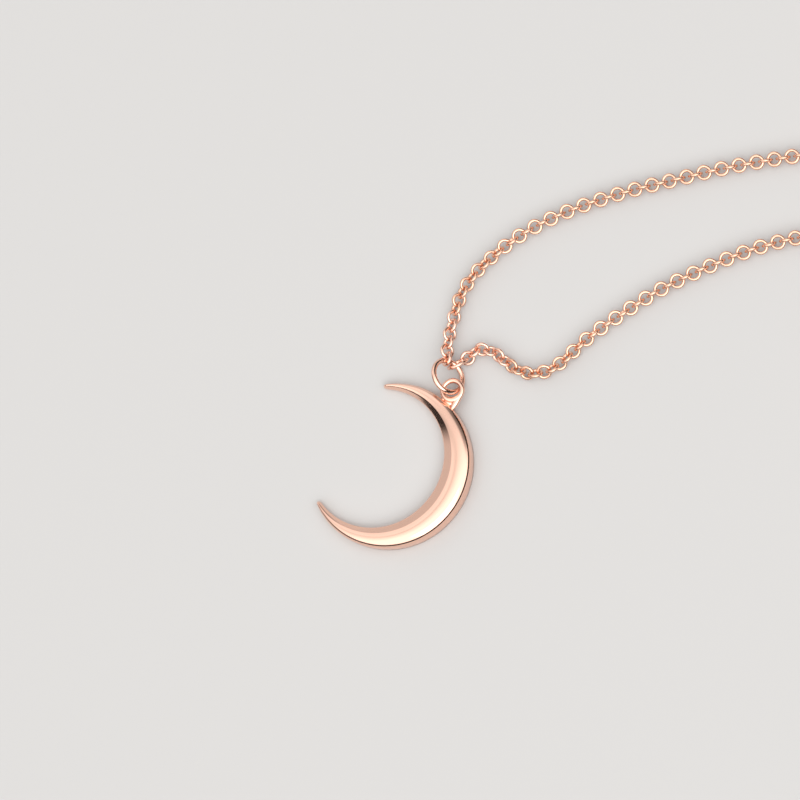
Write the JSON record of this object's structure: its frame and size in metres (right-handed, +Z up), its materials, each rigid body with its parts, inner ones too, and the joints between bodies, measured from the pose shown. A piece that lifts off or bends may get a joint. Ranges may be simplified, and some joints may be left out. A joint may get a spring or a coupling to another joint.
{
  "type": "pendant necklace",
  "caption": "Fine cable-chain necklace with a domed crescent-moon pendant on a jump ring, a lobster clasp and a short extender with a ball drop, laid out flat.",
  "frame": {"origin": "on the supporting surface, under the middle of the pendant, jump ring and near chain links (the laid-out rest of the chain is left out)", "axes": "+Z up from the surface the necklace lies on, out of the front of the crescent; +X from the pendant towards the coiled ends of the chain; +Y across the layout"},
  "size_m": [0.0713, 0.0607, 0.003],
  "materials": {
    "rose_gold": "polished rose gold plate",
    "spring_steel": "bright drawn wire"
  },
  "bodies": {
    "chain": {"chain_a_link_1": "rose_gold", "chain_a_link_2": "rose_gold", "chain_a_link_3": "rose_gold", "chain_a_link_4": "rose_gold", "chain_a_link_5": "rose_gold", "chain_a_link_6": "rose_gold", "chain_a_strand": "rose_gold", "chain_a_coil": "rose_gold", "chain_a_tail": "rose_gold", "chain_a_end_link": "rose_gold", "chain_b_side_ring": "rose_gold", "chain_b_link_1": "rose_gold", "chain_b_link_2": "rose_gold", "chain_b_link_3": "rose_gold", "chain_b_link_4": "rose_gold", "chain_b_link_5": "rose_gold", "chain_b_link_6": "rose_gold", "chain_b_strand": "rose_gold", "chain_b_coil": "rose_gold", "chain_b_tail": "rose_gold", "chain_b_end_link": "rose_gold"},
    "jump_ring": {"jump_ring": "rose_gold"},
    "pendant": {"crescent": "rose_gold", "eye": "rose_gold"},
    "clasp_ring": {"clasp_ring": "rose_gold"},
    "clasp": {"clasp_body": "rose_gold", "clasp_pin": "rose_gold", "clasp_spring": "spring_steel"},
    "clasp_lever": {"clasp_lever": "rose_gold"},
    "extender_ring": {"extender_ring": "rose_gold"},
    "extender_link_1": {"extender_link_1": "rose_gold"},
    "extender_link_2": {"extender_link_2": "rose_gold"},
    "extender_link_3": {"extender_link_3": "rose_gold"},
    "extender_link_4": {"extender_link_4": "rose_gold"},
    "extender_link_5": {"extender_link_5": "rose_gold"},
    "extender_link_6": {"extender_link_6": "rose_gold"},
    "extender_link_7": {"extender_link_7": "rose_gold"},
    "extender_link_8": {"extender_link_8": "rose_gold"},
    "drop": {"drop": "rose_gold"}
  },
  "joints": [
    {"name": "jump_ring_swing", "type": "hinge", "parent": "chain", "child": "jump_ring", "pos_m": [0.0036, 0.00645, 0.00096], "axis": [-0.6791, 0.302, 0.6691], "range_deg": [0, 30]},
    {"name": "pendant_swivel", "type": "hinge", "parent": "jump_ring", "child": "pendant", "pos_m": [0.00389, 0.00359, 0.0012], "axis": [0, 0, 1], "range_deg": [-20, 30]},
    {"name": "clasp_ring_swing", "type": "hinge", "parent": "chain", "child": "clasp_ring", "pos_m": [0.05966, 0.03917, 0.0009], "axis": [0, 0, 1], "range_deg": [-25, 10]},
    {"name": "clasp_swing", "type": "hinge", "parent": "clasp_ring", "child": "clasp", "pos_m": [0.05966, 0.04097, 0.00096], "axis": [0, 0, 1], "range_deg": [-35, 20]},
    {"name": "clasp_lever_pivot", "type": "hinge", "parent": "clasp", "child": "clasp_lever", "pos_m": [0.05881, 0.04352, 0.00082], "axis": [0, 0, 1], "range_deg": [-22, 0], "stiffness_Nm_per_rad": 0.0005, "springref_deg": 8.59},
    {"name": "extender_ring_swing", "type": "hinge", "parent": "chain", "child": "extender_ring", "pos_m": [0.05968, 0.00477, 0.00091], "axis": [0, 0, 1], "range_deg": [-3, 8]},
    {"name": "extender_link_1_swing", "type": "hinge", "parent": "extender_ring", "child": "extender_link_1", "pos_m": [0.05972, 0.00309, 0.00105], "axis": [0, 0, 1], "range_deg": [-3, 20]},
    {"name": "extender_link_2_swing", "type": "hinge", "parent": "extender_link_1", "child": "extender_link_2", "pos_m": [0.05966, 0.00025, 0.00106], "axis": [0, 0, 1], "range_deg": [-3, 20]},
    {"name": "extender_link_3_swing", "type": "hinge", "parent": "extender_link_2", "child": "extender_link_3", "pos_m": [0.05924, -0.00255, 0.00106], "axis": [0, 0, 1], "range_deg": [-3, 20]},
    {"name": "extender_link_4_swing", "type": "hinge", "parent": "extender_link_3", "child": "extender_link_4", "pos_m": [0.0581, -0.00514, 0.00106], "axis": [0, 0, 1], "range_deg": [-3, 20]},
    {"name": "extender_link_5_swing", "type": "hinge", "parent": "extender_link_4", "child": "extender_link_5", "pos_m": [0.05607, -0.00708, 0.00106], "axis": [0, 0, 1], "range_deg": [-3, 20]},
    {"name": "extender_link_6_swing", "type": "hinge", "parent": "extender_link_5", "child": "extender_link_6", "pos_m": [0.05346, -0.00817, 0.00106], "axis": [0, 0, 1], "range_deg": [-3, 20]},
    {"name": "extender_link_7_swing", "type": "hinge", "parent": "extender_link_6", "child": "extender_link_7", "pos_m": [0.05066, -0.00866, 0.00105], "axis": [0, 0, 1], "range_deg": [-3, 20]},
    {"name": "extender_link_8_swing", "type": "hinge", "parent": "extender_link_7", "child": "extender_link_8", "pos_m": [0.04782, -0.00873, 0.00109], "axis": [0, 0, 1], "range_deg": [-3, 20]},
    {"name": "drop_swing", "type": "hinge", "parent": "extender_link_8", "child": "drop", "pos_m": [0.04499, -0.00863, 0.0012], "axis": [0, 0, 1], "range_deg": [-20, 20]}
  ]
}
